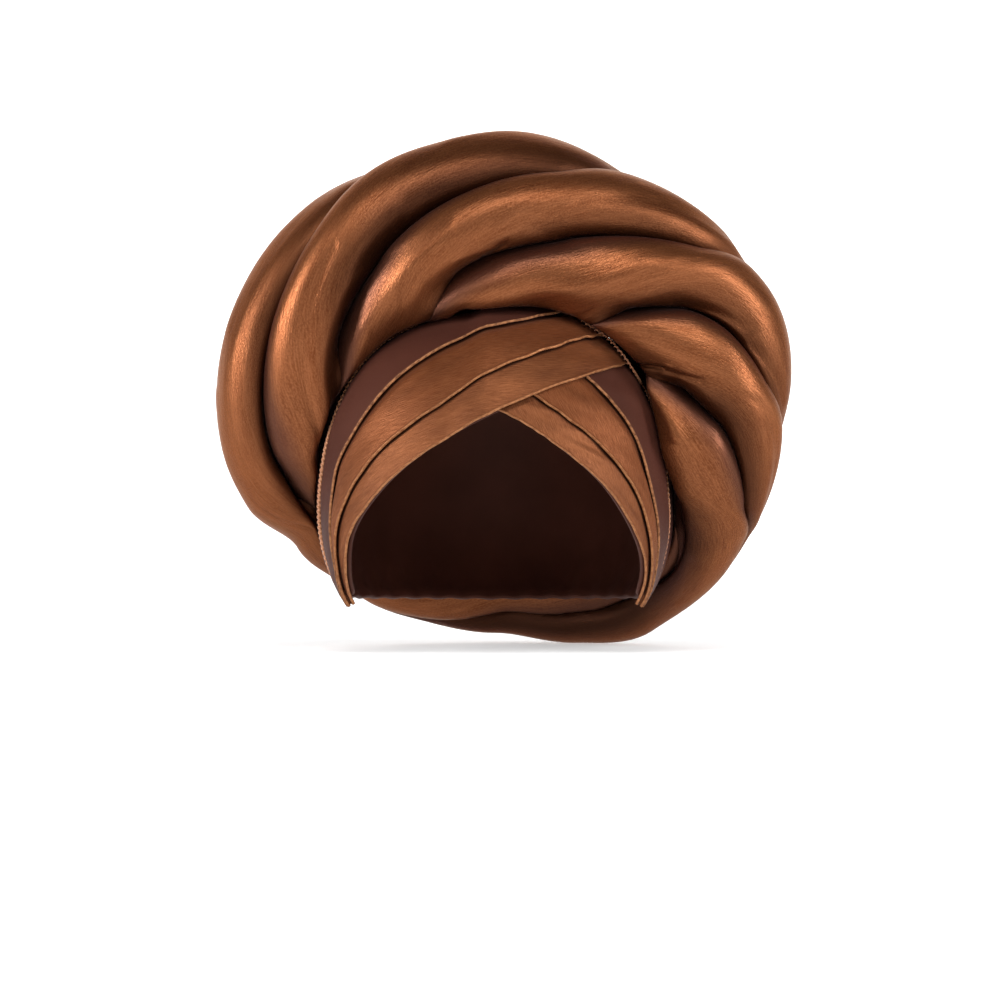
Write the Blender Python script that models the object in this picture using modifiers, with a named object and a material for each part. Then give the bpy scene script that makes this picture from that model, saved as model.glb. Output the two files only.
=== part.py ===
"""A tied head wrap: a hollow cap under two groups of pleats that cross over the brow,
with six padded rolls twisted into a ring around the crown.

Frame: +Z up, the face looks along -Y, +X is at the right as seen from the front.
The origin is the middle of the head hollow, at its widest level. Metres.
"""

import math

import bmesh
import bpy
from mathutils import Vector

# Cap, measured to its outer face from the middle of the head hollow
CAP_HALF_WIDTH = 0.083
CAP_HALF_LENGTH = 0.099
CAP_CROWN = 0.088  # from the widest level up to the crown
CAP_TAPER = 0.070  # how far below the widest level the form would close
CAP_SQUARENESS = 2.5  # 2 is an ellipsoid, more is fuller at the shoulders
CAP_WALL = 0.002

# Pleats on the cap
CLOTH = 0.001
LAYER_GAP = 0.0007  # air between two layers of cloth
CLIMB_START = -16  # turn in degrees where the upper group starts to climb over the lower one
CLIMB_LENGTH = 14
PIPING_RADIUS = 0.0013
RIM_MARGIN = 0.0015  # the cap's rim stays this far inside the lowest pleats

# Ring of padded rolls
RING_RISE = 0.31  # middle of the ring above the widest level, as a share of the crown's height
RING_WIDTH = 0.096  # thickness of the bundle above the brow, seen from the front
RING_DEPTH = 0.100  # thickness of the bundle above the brow, seen from the side
RING_SQUARENESS = 2.3  # of the bundle's section, as for the cap
ROLL_GAP = 0.0008  # air between two rolls
ROLL_VALLEY = 0.66  # depth of the creases, as a share of the bundle's radius
ROLL_CORE = 0.08  # how near the bundle's middle line a roll reaches, same share
ROLL_REST = 0.0012  # air between the rolls and the cap, or the pleats on it
REST_SOFTNESS = 0.0015  # how gently a roll starts to flatten where it rests
LEAST_THICKNESS = 0.3  # what is left of the bundle where it is pressed flat, a share of its own thickness

# Where the rolls rest on pleats, as they see them from outside
PLEATS_END = 0.33  # the seam is this far forward of the cap's middle, a share of CAP_HALF_LENGTH
PLEATS_SLANT = 0.25  # how much of that is lost for each CAP_CROWN below the widest level
PLEATS_EASE = 0.15  # over which the pleats fade out behind the seam, same share
CROSSING = (-26, 84)  # turns between which the two groups lie on each other, in degrees
CROSSING_EASE = 12
CROSSING_RISE = 0.45  # above which they do, a share of CAP_CROWN
CROSSING_RISE_EASE = 0.15
LAYERS_ASIDE = 2  # layers of cloth to clear where one group lies alone
LAYERS_MORE = 3  # and how many more where they cross

# How finely each piece is made
RING_STATIONS = 48
ARC_POINTS = 7
CAP_COLUMNS = 36
CAP_ROWS = 11
PLEAT_STEPS = 20
PLEAT_LINES = (0, 0.4, 0.8, 1, 1.25)  # across a pleat: 1 is the next fold, and the rest is tucked under it
PIPING_STEPS = 22
SHARP_ANGLE = 60  # degrees between faces of a roll, from which their edge is left sharp

# The pleats that start at the wearer's right ear and cross the brow on top, foot to tip.
# Each fold line has its turn around the head in degrees, and its rise as a share of CAP_CROWN.
UPPER_PLEATS = (
    # lower fold      middle fold     upper fold      seam
    ((-66, -0.53), (-68, -0.53), (-70, -0.53), (-72, -0.53)),
    ((-58, -0.36), (-61, -0.34), (-62, -0.32), (-69, -0.32)),
    ((-52, -0.19), (-57, -0.16), (-60, -0.09), (-69, -0.09)),
    ((-40, 0.01), (-49, 0.04), (-57, 0.13), (-67, 0.17)),
    ((-27, 0.18), (-38, 0.23), (-48, 0.36), (-64, 0.48)),
    ((-12, 0.33), (-21, 0.43), (-34, 0.62), (-57, 0.78)),
    ((2, 0.44), (-5, 0.58), (-14, 0.79), (-32, 0.93)),
    ((20, 0.55), (16, 0.7), (10, 0.85), (0, 0.955)),
    ((40, 0.63), (36, 0.77), (30, 0.89), (26, 0.94)),
    ((63, 0.68), (61, 0.81), (50, 0.915), (50, 0.93)),
)

# The pleats from the wearer's left ear, which run under the others at the brow.
LOWER_PLEATS = (
    ((66, -0.53), (68, -0.53), (70, -0.53), (72, -0.53)),
    ((58, -0.34), (60, -0.34), (63, -0.34), (69, -0.34)),
    ((49, -0.17), (55, -0.19), (59, -0.13), (69, -0.13)),
    ((36, 0.06), (47, 0.04), (54, 0.08), (67, 0.11)),
    ((21, 0.25), (34, 0.26), (48, 0.32), (65, 0.36)),
    ((10, 0.37), (21, 0.42), (39, 0.51), (62, 0.59)),
    ((-3, 0.48), (8, 0.56), (29, 0.66), (59, 0.72)),
)
TIP_TURN = UPPER_PLEATS[6][0][0]  # where the upper group's lowest fold meets the lower group

# The piping along each group's seam: where it starts and ends, as shares of the seam from foot
# to tip, and how much thicker it is at the ear.
PIPINGS = {
    "right_piping": (UPPER_PLEATS, 0.02, 0.62, 0.7),
    "left_piping": (LOWER_PLEATS, 0.02, 0.9, 0.0),
}
THICK_RISE = 0.25  # the piping reaches its full thickness this far along itself
THICK_END = 0.64  # and is back to plain here
THICK_FALL = 0.36

# Rise of the cap's rim behind the pleats, by turn from the front in degrees
RIM = ((66, -0.51), (90, -0.53), (135, -0.55), (180, -0.56))

# The bundle of rolls around the ring. The angle is 0 above the brow and grows to the right.
# inner: inner radius, a share of the cap's outline in that direction
# width, depth: shares of RING_WIDTH and RING_DEPTH
# back: middle of the bundle behind the cap's middle, a share of CAP_HALF_LENGTH
# lean: how far the outer edge falls back, for each unit of width
RING = (
    # angle inner width depth  back  lean
    (-180, 0.46, 0.50, 0.46, 1.14, 0.00),
    (-157, 0.56, 0.40, 0.46, 1.09, 0.02),
    (-137, 0.70, 0.34, 0.50, 0.88, 0.05),
    (-118, 0.80, 0.34, 0.58, 0.42, 0.05),
    (-90, 0.78, 0.68, 0.76, -0.02, 0.10),
    (-60, 0.78, 0.82, 0.88, -0.17, 0.14),
    (-30, 0.78, 0.93, 0.96, -0.23, 0.16),
    (0, 0.78, 0.99, 1.00, -0.25, 0.16),
    (30, 0.78, 0.92, 0.98, -0.24, 0.16),
    (60, 0.78, 0.89, 0.95, -0.22, 0.14),
    (90, 0.78, 0.73, 0.90, -0.17, 0.10),
    (118, 0.78, 0.55, 0.72, 0.26, 0.05),
    (140, 0.70, 0.50, 0.56, 0.84, 0.05),
    (158, 0.57, 0.50, 0.50, 1.06, 0.02),
)

# The creases between the rolls. Each row is one crease, and each column the ring angle where
# it has turned that far around the bundle: 0 lies on the cap, 90 faces front, 180 is the
# outer edge and 270 faces back. After a whole turn it meets its own start again.
CREASE_TURNS = (0, 45, 90, 135, 180, 225, 270, 315)
CREASES = {
    "roll_a": (-252, -243, -212, -178, -155, -60, 15, 70),
    "roll_b": (-116, -109, -93, -35, -16, 30, 70, 150),
    "roll_c": (-103, -70, -27, 16, 29, 62, 105, 195),
    "roll_d": (-40, -18, 26, 49, 56, 95, 165, 245),
    "roll_e": (28, 40, 57, 82, 90, 165, 240, 300),
    "roll_f": (52, 69, 88, 105, 110, 245, 320, 375),
}

# Finishes: colour and roughness
SATIN_BROWN = ((0.30, 0.125, 0.055), 0.42)
SHADE_BROWN = ((0.085, 0.030, 0.024), 0.5)
THREAD_BROWN = ((0.36, 0.17, 0.08), 0.6)


def clear_scene():
    for obj in list(bpy.data.objects):
        bpy.data.objects.remove(obj)


def cloth_material(name, finish):
    """A cloth material with the colour and roughness of a finish."""
    colour, roughness = finish
    material = bpy.data.materials.new(name)
    material.use_nodes = True
    shader = material.node_tree.nodes["Principled BSDF"]
    shader.inputs["Base Color"].default_value = (*colour, 1.0)
    shader.inputs["Roughness"].default_value = roughness
    shader.inputs["Metallic"].default_value = 0.0
    return material


def steady(t):
    """Eases a share from 0 to 1, flat at both ends."""
    t = min(1.0, max(0.0, t))
    return t * t * (3 - 2 * t)


def slopes(xs, ys):
    """Slopes at the points of a curve that never overshoots them."""
    steps = [(y1 - y0) / (x1 - x0) for x0, x1, y0, y1 in zip(xs, xs[1:], ys, ys[1:])]
    inner = [0.0 if a * b <= 0 else 2 * a * b / (a + b) for a, b in zip(steps, steps[1:])]
    return [steps[0], *inner, steps[-1]]


def smooth_between(xs, ys, x):
    """The value at x of a smooth curve through the points (xs, ys)."""
    m = slopes(xs, ys)
    x = min(xs[-1], max(xs[0], x))
    i = max(k for k in range(len(xs) - 1) if xs[k] <= x)
    h = xs[i + 1] - xs[i]
    t = (x - xs[i]) / h
    start = (1 + 2 * t) * (1 - t) ** 2 * ys[i] + t * (1 - t) ** 2 * h * m[i]
    end = t * t * (3 - 2 * t) * ys[i + 1] + t * t * (t - 1) * h * m[i + 1]
    return start + end


def around(rows, angle, column):
    """A column of a table whose first column is an angle that comes round after 360 degrees."""
    angles = [row[0] - 360 for row in rows] + [row[0] for row in rows] + [row[0] + 360 for row in rows]
    values = [row[column] for row in rows] * 3
    return smooth_between(angles, values, angle)


def cap_girth(rise):
    """How wide the cap is at a rise above the widest level, as a share of its widest."""
    height = CAP_CROWN if rise > 0 else CAP_TAPER
    share = min(1.0, abs(rise) / height)
    return (1 - share**CAP_SQUARENESS) ** (1 / CAP_SQUARENESS)


def cap_ratio(point):
    """1 on the cap's outer face, less inside it, and in proportion along any line from the middle."""
    girth = math.hypot(point.x / CAP_HALF_WIDTH, point.y / CAP_HALF_LENGTH)
    height = abs(point.z) / (CAP_CROWN if point.z > 0 else CAP_TAPER)
    return (girth**CAP_SQUARENESS + height**CAP_SQUARENESS) ** (1 / CAP_SQUARENESS)


def cap_slope(point):
    """How fast cap_ratio grows at a point, as a vector that points straight out of the cap."""
    step = 1e-5
    return Vector(
        [
            (cap_ratio(point + axis * step) - cap_ratio(point - axis * step)) / (2 * step)
            for axis in (Vector((1, 0, 0)), Vector((0, 1, 0)), Vector((0, 0, 1)))
        ]
    )


def cap_point(turn, rise, out=0.0):
    """The point on the cap at a turn from the front in degrees and a rise in metres, moved outwards."""
    girth = cap_girth(rise)
    x = CAP_HALF_WIDTH * girth * math.sin(math.radians(turn))
    y = -CAP_HALF_LENGTH * girth * math.cos(math.radians(turn))
    point = Vector((x, y, rise))
    if out:
        point += cap_slope(point).normalized() * out
    return point


def sheet_mesh(name, columns, rows, place):
    """A grid of faces whose point at the shares (u, v) lies where place says. Edges that meet are joined."""
    mesh = bpy.data.meshes.new(name)
    grid = bmesh.new()
    bmesh.ops.create_grid(grid, x_segments=columns, y_segments=rows, size=0.5)
    for vertex in grid.verts:
        vertex.co = place(vertex.co.x + 0.5, vertex.co.y + 0.5)
    bmesh.ops.remove_doubles(grid, verts=grid.verts, dist=1e-6)
    grid.to_mesh(mesh)
    grid.free()
    return mesh


def finish_closed(mesh):
    """Splits the faces of a closed mesh along their short diagonals, and turns them outwards."""
    shape = bmesh.new()
    shape.from_mesh(mesh)
    bmesh.ops.triangulate(shape, faces=shape.faces, quad_method="SHORT_EDGE")
    bmesh.ops.recalc_face_normals(shape, faces=shape.faces)
    shape.to_mesh(mesh)
    shape.free()


def add_piece(name, data, finish, collection):
    """Puts a piece in the collection, with a material of its own."""
    piece = bpy.data.objects.new(name, data)
    data.materials.append(cloth_material(f"{name}_cloth", finish))
    collection.objects.link(piece)
    return piece


def give_wall(piece, thickness, side):
    """Gives an open sheet its thickness, outwards for side 1 and inwards for side -1."""
    wall = piece.modifiers.new("wall", "SOLIDIFY")
    wall.thickness = thickness
    wall.offset = side
    wall.use_even_offset = True


def fold_row(table, column, share):
    """(turn, rise in metres) of one fold line of a table of pleats, at a share of its length."""
    places = range(len(table))
    at = share * (len(table) - 1)
    turn = smooth_between(places, [row[column][0] for row in table], at)
    rise = smooth_between(places, [row[column][1] for row in table], at)
    return turn, rise * CAP_CROWN


def lowest_fold(turn):
    """Rise of the lowest pleat's edge at a turn, which the cap's rim follows in front."""
    table = UPPER_PLEATS if turn < TIP_TURN else LOWER_PLEATS
    folds = sorted(row[0] for row in table)
    return smooth_between([f[0] for f in folds], [f[1] for f in folds], turn) * CAP_CROWN


def rim_rise(turn):
    """Rise of the cap's rim at a turn."""
    if abs(turn) < RIM[0][0]:
        return lowest_fold(turn) + RIM_MARGIN
    return smooth_between([r[0] for r in RIM], [r[1] for r in RIM], abs(turn)) * CAP_CROWN + RIM_MARGIN


def make_cap(collection):
    """The hollow cap that grips the head and carries all the rest."""

    def place(u, v):
        turn = 360 * u - 180
        low = rim_rise(turn)
        rise = low + (CAP_CROWN - low) * math.sin(v * math.pi / 2)
        return cap_point(turn, rise)

    mesh = sheet_mesh("head_cap", CAP_COLUMNS, CAP_ROWS, place)
    mesh.shade_smooth()
    give_wall(add_piece("head_cap", mesh, SHADE_BROWN, collection), CAP_WALL, -1)


def group_lift(table, turn):
    """How far a group of pleats stands off the cap: the upper group climbs over the lower one."""
    if table is LOWER_PLEATS:
        return LAYER_GAP
    climb = steady((turn - CLIMB_START) / CLIMB_LENGTH)
    return LAYER_GAP + 2 * (CLOTH + LAYER_GAP) * climb


def pleat_point(table, column, along, across):
    """A point on the inner face of a pleat, which starts over the one below and ends under the next."""
    fold = min(2, column + int(across))
    low_turn, low_rise = fold_row(table, fold, along)
    high_turn, high_rise = fold_row(table, fold + 1, along)
    share = across - (fold - column)
    turn = low_turn + (high_turn - low_turn) * share
    rise = low_rise + (high_rise - low_rise) * share
    lift = group_lift(table, turn)
    if column > 0 and across < PLEAT_LINES[2]:
        lift += CLOTH + LAYER_GAP
    return cap_point(turn, rise, lift)


def make_pleat(name, table, column, finish, collection):
    """One layer of cloth laid over the cap, with its lower edge over the pleat below it."""
    mirrored = table is LOWER_PLEATS
    lines = PLEAT_LINES if column < 2 else PLEAT_LINES[:4]

    def place(u, v):
        return pleat_point(table, column, 1 - u if mirrored else u, lines[round(v * (len(lines) - 1))])

    mesh = sheet_mesh(name, PLEAT_STEPS, len(lines) - 1, place)
    mesh.shade_smooth()
    give_wall(add_piece(name, mesh, finish, collection), CLOTH, 1)


def seam_point(table, share, clear):
    """A point beside the line where the pleats end, clear of their ends and of the cap."""
    turn, rise = fold_row(table, 3, share)
    girth = CAP_HALF_WIDTH * cap_girth(rise)
    return cap_point(turn + math.copysign(math.degrees(clear / girth), turn), rise, clear)


def make_piping(name, collection):
    """The sewn cord along the pleats' ends, thicker over a stretch at the ear."""
    table, start, end, widen = PIPINGS[name]
    curve = bpy.data.curves.new(name, "CURVE")
    curve.dimensions = "3D"
    curve.bevel_depth = PIPING_RADIUS
    curve.bevel_resolution = 1
    curve.use_fill_caps = True
    spline = curve.splines.new("POLY")
    spline.points.add(PIPING_STEPS)
    for i, point in enumerate(spline.points):
        along = i / PIPING_STEPS
        thick = steady(along / THICK_RISE) * steady((THICK_END - along) / THICK_FALL)
        point.radius = 1 + widen * thick
        share = start + (end - start) * along
        point.co = (*seam_point(table, share, PIPING_RADIUS * point.radius + LAYER_GAP), 1)
    return add_piece(name, curve, THREAD_BROWN, collection)


def ring_outline(angle):
    """Distance from the ring's middle to the cap's outline, seen from the front, at a ring angle."""
    direction = Vector((math.sin(math.radians(angle)), 0, math.cos(math.radians(angle))))
    middle = Vector((0, 0, RING_RISE * CAP_CROWN))
    near, far = 0.0, 2 * (CAP_HALF_WIDTH + CAP_CROWN)
    for _ in range(40):
        half = (near + far) / 2
        near, far = (half, far) if cap_ratio(middle + direction * half) < 1 else (near, half)
    return near


def layers_at(point):
    """How far the pleats and the piping stand off the cap in the direction of a point."""
    on_cap = point / cap_ratio(point)
    turn = math.degrees(math.atan2(on_cap.x / CAP_HALF_WIDTH, -on_cap.y / CAP_HALF_LENGTH))
    first, last = CROSSING
    crossing = steady((turn - first) / CROSSING_EASE) * steady((last - turn) / CROSSING_EASE)
    climbing = crossing * steady((on_cap.z / CAP_CROWN - CROSSING_RISE) / CROSSING_RISE_EASE)
    seam = PLEATS_END + PLEATS_SLANT * min(0.0, on_cap.z / CAP_CROWN)
    pleated = steady((-on_cap.y / CAP_HALF_LENGTH - seam) / PLEATS_EASE + 1)
    return pleated * (LAYERS_ASIDE + LAYERS_MORE * climbing) * (CLOTH + LAYER_GAP)


def rest_radius(angle, y):
    """Distance from the ring's middle, at a ring angle and a depth y, where a roll rests on the cap."""
    a = math.radians(angle)
    direction = Vector((math.sin(a), 0, math.cos(a)))
    middle = Vector((0, y, RING_RISE * CAP_CROWN))
    near, far = 0.0, 2 * (CAP_HALF_WIDTH + CAP_CROWN)
    for _ in range(20):
        half = (near + far) / 2
        point = middle + direction * half
        resting = cap_ratio(point) < 1 + (ROLL_REST + layers_at(point)) * cap_slope(point).length
        near, far = (half, far) if resting else (near, half)
    return near


def rounded(part):
    """A sine or a cosine, grown so that the outline it draws has the bundle's squareness."""
    return math.copysign(abs(part) ** (2 / RING_SQUARENESS), part)


def bundle_point(angle, turn, reach):
    """A point in the bundle of rolls: at a ring angle, a turn around the bundle and a reach from its middle.

    The bundle's inner side is flattened where it rests on the cap, and all that lies in it moves along.
    """
    inner, width, depth, back, lean = (around(RING, angle, column) for column in range(1, 6))
    half_width = width * RING_WIDTH / 2
    half_depth = depth * RING_DEPTH / 2
    middle = inner * ring_outline(angle) + half_width
    forward = reach * rounded(math.sin(math.radians(turn)))
    outward = -reach * rounded(math.cos(math.radians(turn)))
    side = half_width * (1 - min(1.0, abs(forward)) ** RING_SQUARENESS) ** (1 / RING_SQUARENESS)
    y = back * CAP_HALF_LENGTH - half_depth * forward
    low = middle - side
    rest = rest_radius(angle, y - lean * side)
    floor = (low + rest + math.hypot(low - rest, 2 * REST_SOFTNESS)) / 2
    top = max(middle + side, floor + 2 * side * LEAST_THICKNESS)
    share = (half_width * outward + side) / max(2 * side, 1e-6)
    radius = floor + (top - floor) * share
    a = math.radians(angle)
    y += lean * (radius - middle)
    return Vector((radius * math.sin(a), y, RING_RISE * CAP_CROWN + radius * math.cos(a)))


def crease_turn(name, angle):
    """How far the crease that starts a roll has turned around the bundle, at a ring angle."""
    angles, turns = [], []
    for lap in (-2, -1, 0, 1, 2):
        angles += [a + 360 * lap for a in CREASES[name]]
        turns += [t + 360 * lap for t in CREASE_TURNS]
    return smooth_between(angles, turns, angle)


def roll_bounds(index, angle):
    """The two creases beside a roll, in degrees around the bundle."""
    names = list(CREASES)
    high = crease_turn(names[index], angle)
    last = index == len(names) - 1
    low = crease_turn(names[0], angle) - 360 if last else crease_turn(names[index + 1], angle)
    return low, high


def roll_section():
    """The outline of a roll's section, as (share across from -1 to 1, share of the way out from 0 to 1)."""
    arc = []
    for i in range(ARC_POINTS + 1):
        across = -math.cos(math.pi * i / ARC_POINTS)
        arc.append((across, ROLL_VALLEY + (1 - ROLL_VALLEY) * math.sqrt(1 - across * across)))
    middle = (ROLL_VALLEY + ROLL_CORE) / 2
    return [*arc, (1, middle), (1, ROLL_CORE), (-1, ROLL_CORE), (-1, middle)]


def make_roll(index, name, collection):
    """A padded roll that winds once around the bundle while it goes once around the ring."""
    section = roll_section()

    def place(u, v):
        angle = 360 * v - 180
        across, reach = section[round(u * len(section)) % len(section)]
        low, high = roll_bounds(index, angle)
        half_depth = around(RING, angle, 3) * RING_DEPTH / 2
        half = (high - low) / 2
        spare = min(half / 2, math.degrees(ROLL_GAP / 2 / (reach * half_depth)))
        turn = (low + high) / 2 + across * (half - spare)
        return bundle_point(angle, turn, reach)

    mesh = sheet_mesh(name, len(section), RING_STATIONS, place)
    finish_closed(mesh)
    mesh.shade_smooth()
    mesh.set_sharp_from_angle(angle=math.radians(SHARP_ANGLE))
    return add_piece(name, mesh, SATIN_BROWN, collection)


def main():
    clear_scene()
    collection = bpy.data.collections.new("tied_head_wrap")
    bpy.context.scene.collection.children.link(collection)

    make_cap(collection)
    for side, table in (("right", UPPER_PLEATS), ("left", LOWER_PLEATS)):
        make_pleat(f"{side}_brow_pleat", table, 0, SATIN_BROWN, collection)
        make_pleat(f"{side}_middle_pleat", table, 1, SATIN_BROWN, collection)
        make_pleat(f"{side}_top_panel", table, 2, SHADE_BROWN, collection)
    for name in PIPINGS:
        make_piping(name, collection)
    for index in range(len(CREASES)):
        make_roll(index, f"padded_roll_{index + 1}", collection)


main()
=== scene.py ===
"""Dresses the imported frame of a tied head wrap: satin rolls twisted into a ring, pleats that cross
over the brow, the sewn piping beside them and the cap under it all, with a plain studio around it.

Frame: +Z up, the face looks along -Y, +X is at the right as seen from the front. Metres.
"""

import math

import bpy
import numpy as np
from bpy.props import FloatProperty, FloatVectorProperty, PointerProperty
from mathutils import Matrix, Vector


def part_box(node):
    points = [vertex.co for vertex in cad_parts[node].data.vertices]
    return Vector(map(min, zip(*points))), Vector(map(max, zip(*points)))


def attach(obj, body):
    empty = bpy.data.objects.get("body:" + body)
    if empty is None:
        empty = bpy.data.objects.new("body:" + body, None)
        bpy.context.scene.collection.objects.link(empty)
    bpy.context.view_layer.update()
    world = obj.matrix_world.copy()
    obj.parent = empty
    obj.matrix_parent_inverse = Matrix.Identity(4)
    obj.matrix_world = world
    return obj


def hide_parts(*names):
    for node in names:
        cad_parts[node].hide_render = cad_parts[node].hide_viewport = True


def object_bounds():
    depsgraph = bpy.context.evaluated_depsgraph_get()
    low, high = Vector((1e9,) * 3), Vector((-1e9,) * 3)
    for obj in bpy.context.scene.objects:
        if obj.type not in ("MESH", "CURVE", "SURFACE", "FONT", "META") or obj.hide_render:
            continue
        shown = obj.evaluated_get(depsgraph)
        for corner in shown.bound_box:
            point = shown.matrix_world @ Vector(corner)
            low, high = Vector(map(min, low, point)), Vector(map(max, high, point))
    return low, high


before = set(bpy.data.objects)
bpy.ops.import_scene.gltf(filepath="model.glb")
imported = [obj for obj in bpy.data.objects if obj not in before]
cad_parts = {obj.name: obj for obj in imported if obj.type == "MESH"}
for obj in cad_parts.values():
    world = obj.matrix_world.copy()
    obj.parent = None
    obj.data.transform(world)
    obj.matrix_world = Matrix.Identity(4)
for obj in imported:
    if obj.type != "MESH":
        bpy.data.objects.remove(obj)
CAD_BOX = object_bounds()
CAP_TOP_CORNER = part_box("head_cap")[1]

bl_info = {
    "name": "Tied head wrap",
    "version": (1, 0, 0),
    "blender": (4, 5, 0),
    "location": "View3D > Sidebar > Head wrap",
    "description": "Adds a head wrap of crossing pleats and a twisted ring of padded satin rolls",
    "category": "Object",
}

# Fold lines of the pleats from foot to tip: turn around the head in degrees, and rise as a
# share of the crown's height. The columns are the lower, middle and upper fold and the seam.
UPPER_PLEATS = (
    ((-66, -0.53), (-68, -0.53), (-70, -0.53), (-72, -0.53)),
    ((-58, -0.36), (-61, -0.34), (-62, -0.32), (-69, -0.32)),
    ((-52, -0.19), (-57, -0.16), (-60, -0.09), (-69, -0.09)),
    ((-40, 0.01), (-49, 0.04), (-57, 0.13), (-67, 0.17)),
    ((-27, 0.18), (-38, 0.23), (-48, 0.36), (-64, 0.48)),
    ((-12, 0.33), (-21, 0.43), (-34, 0.62), (-57, 0.78)),
    ((2, 0.44), (-5, 0.58), (-14, 0.79), (-32, 0.93)),
    ((20, 0.55), (16, 0.7), (10, 0.85), (0, 0.955)),
    ((40, 0.63), (36, 0.77), (30, 0.89), (26, 0.94)),
    ((57, 0.674), (50, 0.793), (43, 0.907), (45, 0.932)),
)
LOWER_PLEATS = (
    ((66, -0.53), (68, -0.53), (70, -0.53), (72, -0.53)),
    ((58, -0.34), (60, -0.34), (63, -0.34), (69, -0.34)),
    ((49, -0.17), (55, -0.19), (59, -0.13), (69, -0.13)),
    ((36, 0.06), (47, 0.04), (54, 0.08), (67, 0.11)),
    ((21, 0.25), (34, 0.26), (48, 0.32), (65, 0.36)),
    ((10, 0.37), (21, 0.42), (39, 0.51), (62, 0.59)),
    ((-3, 0.48), (8, 0.56), (29, 0.66), (59, 0.72)),
)
TIP_ROW = 6  # row of UPPER_PLEATS where its lowest fold meets the lower group

# Rise of the cap's rim behind the pleats, by turn from the front in degrees
RIM = ((66, -0.51), (90, -0.53), (135, -0.55), (180, -0.56))

# The bundle of rolls, by the angle around the ring from above the brow: inner radius as a share of
# the cap's outline, width and depth as shares of the ring's, how far back, and lean
RING = (
    (-180, 0.46, 0.50, 0.46, 1.14, 0.00),
    (-157, 0.56, 0.40, 0.46, 1.09, 0.02),
    (-137, 0.70, 0.34, 0.50, 0.88, 0.05),
    (-118, 0.79, 0.36, 0.58, 0.42, 0.05),
    (-105, 0.77, 0.58, 0.67, 0.16, 0.08),
    (-90, 0.75, 0.70, 0.76, -0.02, 0.10),
    (-60, 0.78, 0.82, 0.88, -0.17, 0.14),
    (-30, 0.78, 0.93, 0.96, -0.23, 0.16),
    (0, 0.78, 0.99, 1.00, -0.25, 0.16),
    (30, 0.78, 0.92, 0.98, -0.24, 0.16),
    (60, 0.77, 0.91, 0.95, -0.22, 0.14),
    (90, 0.77, 0.74, 0.90, -0.17, 0.10),
    (118, 0.73, 0.61, 0.72, 0.26, 0.05),
    (140, 0.70, 0.50, 0.56, 0.84, 0.05),
    (158, 0.57, 0.50, 0.50, 1.06, 0.02),
)

# Ring angles where each crease between two rolls has turned that far around the bundle
CREASE_TURNS = (0, 45, 90, 135, 180, 225, 270, 315)
CREASES = (
    (-252, -243, -212, -178, -155, -60, 15, 70),
    (-116, -110, -94, -42, -16, 30, 70, 150),
    (-101, -69, -31, 12, 29, 62, 105, 195),
    (-41, -23, 21, 46, 57, 95, 165, 245),
    (28, 42, 55, 77, 90, 165, 240, 300),
    (52, 69, 86, 105, 111, 245, 320, 375),
)

# Where the bundle departs from a plain form: ring angle, turn around it, reach of each in degrees,
# and swell
TRIMS = (
    (-131, 180, 10, 65, -0.30),
    (-104, 180, 8, 50, -0.05),
    (-10, 180, 14, 50, -0.04),
    (-42, 38, 24, 42, -0.10),
    (20, 34, 15, 40, -0.09),
    (52, 34, 22, 44, -0.10),
    (112, 20, 20, 50, 0.13),
    (80, 40, 18, 40, -0.07),
)

# Ridges (swell above 0) and dents (below 0) in the rolls: the roll, the ring angle and the place
# across where each starts and ends, half its width as a share of half the roll's, and swell
DENTS = (
    (2, -84, -0.20, -24, -0.60, 0.17, 0.034),
    (2, -104, 0.30, -40, 0.02, 0.13, -0.026),
    (1, -78, 0.20, -40, 0.00, 0.14, -0.018),
    (2, -8, 0.15, 36, 0.45, 0.20, 0.018),
    (3, -50, 0.80, -12, 0.30, 0.14, 0.018),
    (3, -34, 0.30, -2, -0.20, 0.16, -0.014),
    (3, -4, -0.80, 3, -0.64, 0.09, -0.040),
    (3, 0, -0.62, -13, -0.30, 0.06, 0.012),
    (3, 20, -0.30, 52, -0.10, 0.18, -0.016),
    (4, -14, -0.30, 36, -0.42, 0.16, -0.018),
    (4, -10, 0.42, 44, 0.34, 0.16, 0.016),
    (4, 54, -0.86, 66, -0.66, 0.10, -0.045),
    (4, 60, -0.92, 78, -0.80, 0.08, 0.025),
    (4, 70, -0.78, 82, -0.50, 0.09, -0.035),
    (5, 62, -0.66, 67, -0.44, 0.09, -0.050),
    (5, 67, -0.30, 69, -0.66, 0.07, 0.022),
    (5, 69, -0.46, 74, -0.24, 0.09, -0.045),
    (5, 82, 0.10, 112, 0.30, 0.16, -0.020),
    (6, 68, 0.84, 90, 0.46, 0.10, 0.040),
    (6, 92, -0.20, 118, -0.35, 0.16, -0.020),
    (6, 122, -0.24, 130, 0.06, 0.13, -0.040),
    (1, -112, 0.10, -70, -0.10, 0.18, -0.014),
    (1, -66, -0.25, -34, -0.45, 0.18, -0.018),
)
ROLL_HALF_ANGLE = 11  # half a roll's width as degrees around the ring

# Where across each roll the painted shade on its inner side starts, and how dark that painted shade gets
INNER_SIDES = ((-0.5, 0.5), (0.1, 0.9), (-0.1, 0.6), (-0.1, 0.75), (0.15, 0.8), (0.45, 1.0))
INNER_SIDE_FADE = 0.9

# Where the cord on the wearer's left runs on over the tips of the upper pleats: turn, rise as a
# share of the crown's height, and lift off the cap
OVER_TIPS = (
    (59.5, 0.606, 0.0036),
    (54.5, 0.642, 0.0060),
    (50.8, 0.705, 0.0076),
    (48.8, 0.765, 0.0078),
    (46.0, 0.802, 0.0078),
    (42.8, 0.836, 0.0080),
    (41.6, 0.873, 0.0082),
    (41.2, 0.912, 0.0082),
)

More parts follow.
